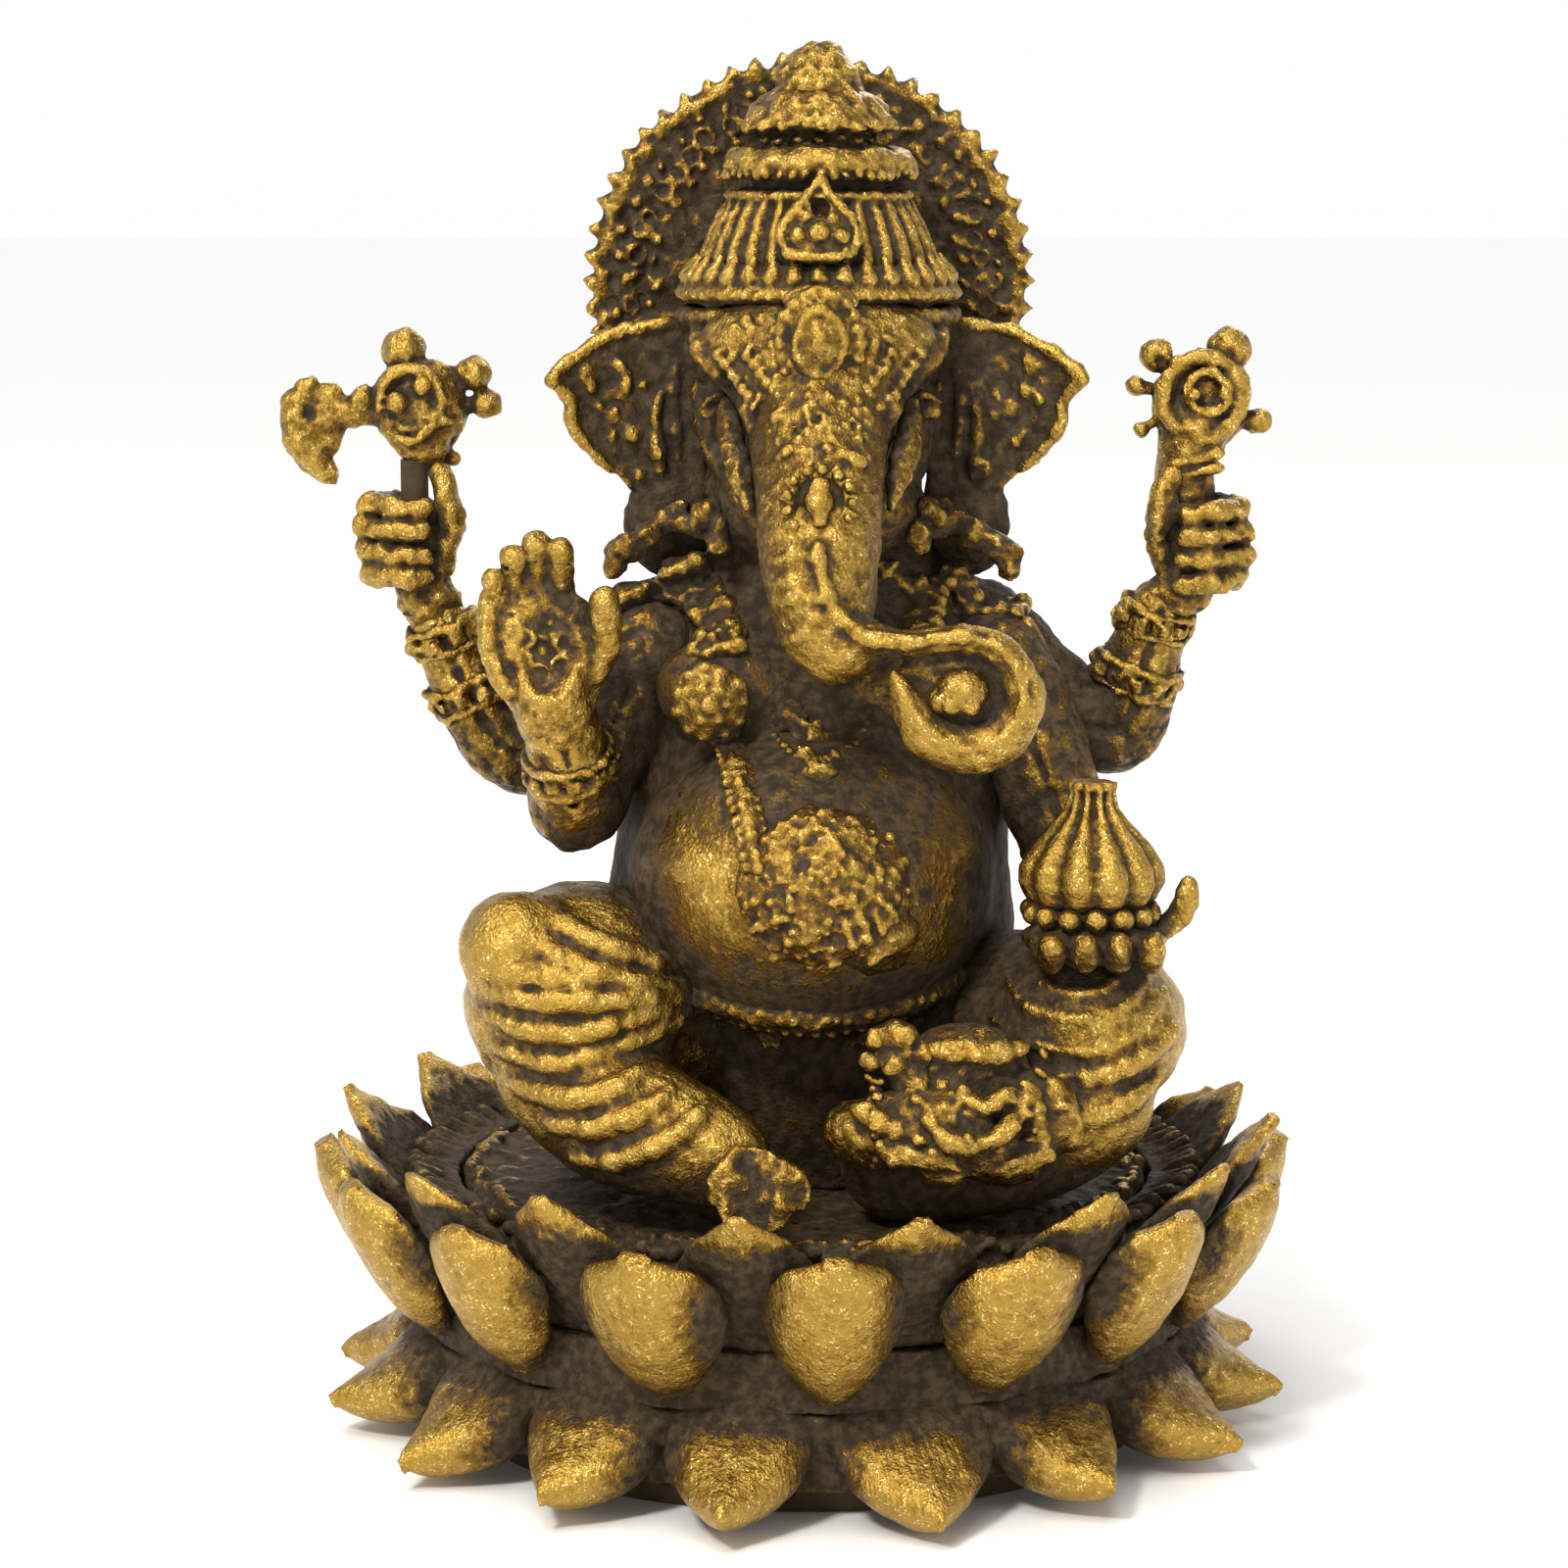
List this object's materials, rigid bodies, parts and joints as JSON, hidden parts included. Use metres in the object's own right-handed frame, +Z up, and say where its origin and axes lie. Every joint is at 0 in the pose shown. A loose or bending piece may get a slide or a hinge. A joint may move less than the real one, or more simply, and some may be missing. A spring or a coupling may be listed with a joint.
{
  "type": "seated deity statue",
  "caption": "Small brass elephant-headed seated figure with four arms, tiered crown and toothed halo, on a round lotus base of three petal rows.",
  "frame": {"origin": "centre of the base's underside, on the surface that the statue stands on", "axes": "+Z up, the figure faces -Y, its own right side is at -X"},
  "size_m": [0.036, 0.0354, 0.05],
  "materials": {
    "rubbed_brass": "antique brass, rubbed bright on the high points, dark patina in the hollows",
    "petal_brass": "antique brass, wire brushed along the petals, dark patina between them",
    "patina_brass": "brass with a near black-brown patina left on, only its edges rubbed",
    "screw_steel": "plain machine screws inside the base"
  },
  "bodies": {
    "root": {"base_cover": "patina_brass", "cover_screws": "screw_steel", "lotus_core": "patina_brass", "lower_petals": "petal_brass", "outer_petals": "petal_brass", "inner_petals": "petal_brass", "seat_deck": "patina_brass", "figure_screw": "screw_steel", "torso": "patina_brass", "belly_plate": "rubbed_brass", "waist_belt": "rubbed_brass", "right_leg": "rubbed_brass", "left_leg": "rubbed_brass", "right_foot": "rubbed_brass", "anklet": "rubbed_brass", "cloth_fan": "rubbed_brass", "upper_right_arm": "patina_brass", "upper_left_arm": "patina_brass", "lower_right_arm": "patina_brass", "lower_left_arm": "patina_brass", "upper_right_hand": "rubbed_brass", "upper_left_hand": "rubbed_brass", "blessing_hand": "rubbed_brass", "offering_hand": "patina_brass", "axe_handle": "patina_brass", "axe_head": "rubbed_brass", "noose_stem": "patina_brass", "noose_head": "rubbed_brass", "sweet": "rubbed_brass", "sweet_beads": "rubbed_brass", "right_arm_rings": "rubbed_brass", "left_arm_rings": "rubbed_brass", "necklace": "rubbed_brass", "sash_tassel": "rubbed_brass", "shoulder_garlands": "rubbed_brass", "head": "rubbed_brass", "trunk": "rubbed_brass", "trunk_sweet": "rubbed_brass", "right_tusk": "rubbed_brass", "left_tusk": "rubbed_brass", "right_ear": "patina_brass", "left_ear": "patina_brass", "ear_drops": "rubbed_brass", "forehead_jewel": "rubbed_brass", "trunk_rosette": "rubbed_brass", "crown_band": "rubbed_brass", "crown_dome": "rubbed_brass", "crown_crest": "rubbed_brass", "crown_ring": "rubbed_brass", "crown_disc": "rubbed_brass", "crown_finial": "rubbed_brass", "halo": "patina_brass"}
  },
  "joints": []
}
